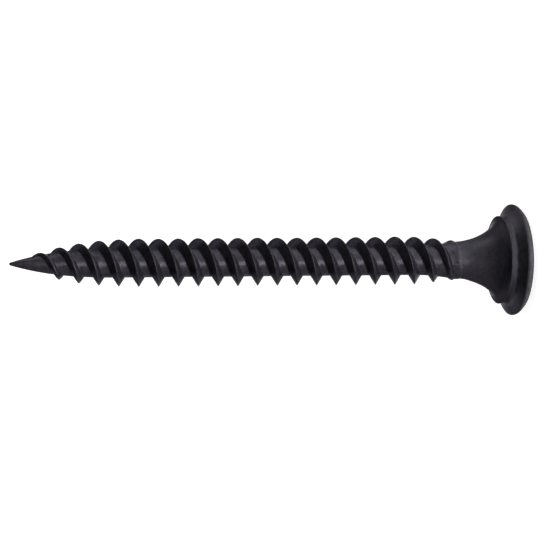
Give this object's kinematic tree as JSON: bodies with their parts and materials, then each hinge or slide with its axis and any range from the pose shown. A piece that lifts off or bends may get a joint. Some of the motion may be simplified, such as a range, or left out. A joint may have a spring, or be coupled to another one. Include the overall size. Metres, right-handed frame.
{
  "type": "drywall screw",
  "caption": "Self-tapping drywall screw with a trumpet-shaped head, cross recess, sharp point and coarse thread; fastens plasterboard to a stud.",
  "frame": {"origin": "centre of the flat drive face, on which the screw stands", "axes": "+Z along the screw, from the drive face to the point; +X and +Y along the wings of the cross recess"},
  "size_m": [0.0082, 0.0082, 0.0385],
  "materials": {
    "black_phosphate": "black phosphate coating, satin, fine grain"
  },
  "bodies": {
    "root": {"screw": "black_phosphate"}
  },
  "joints": []
}
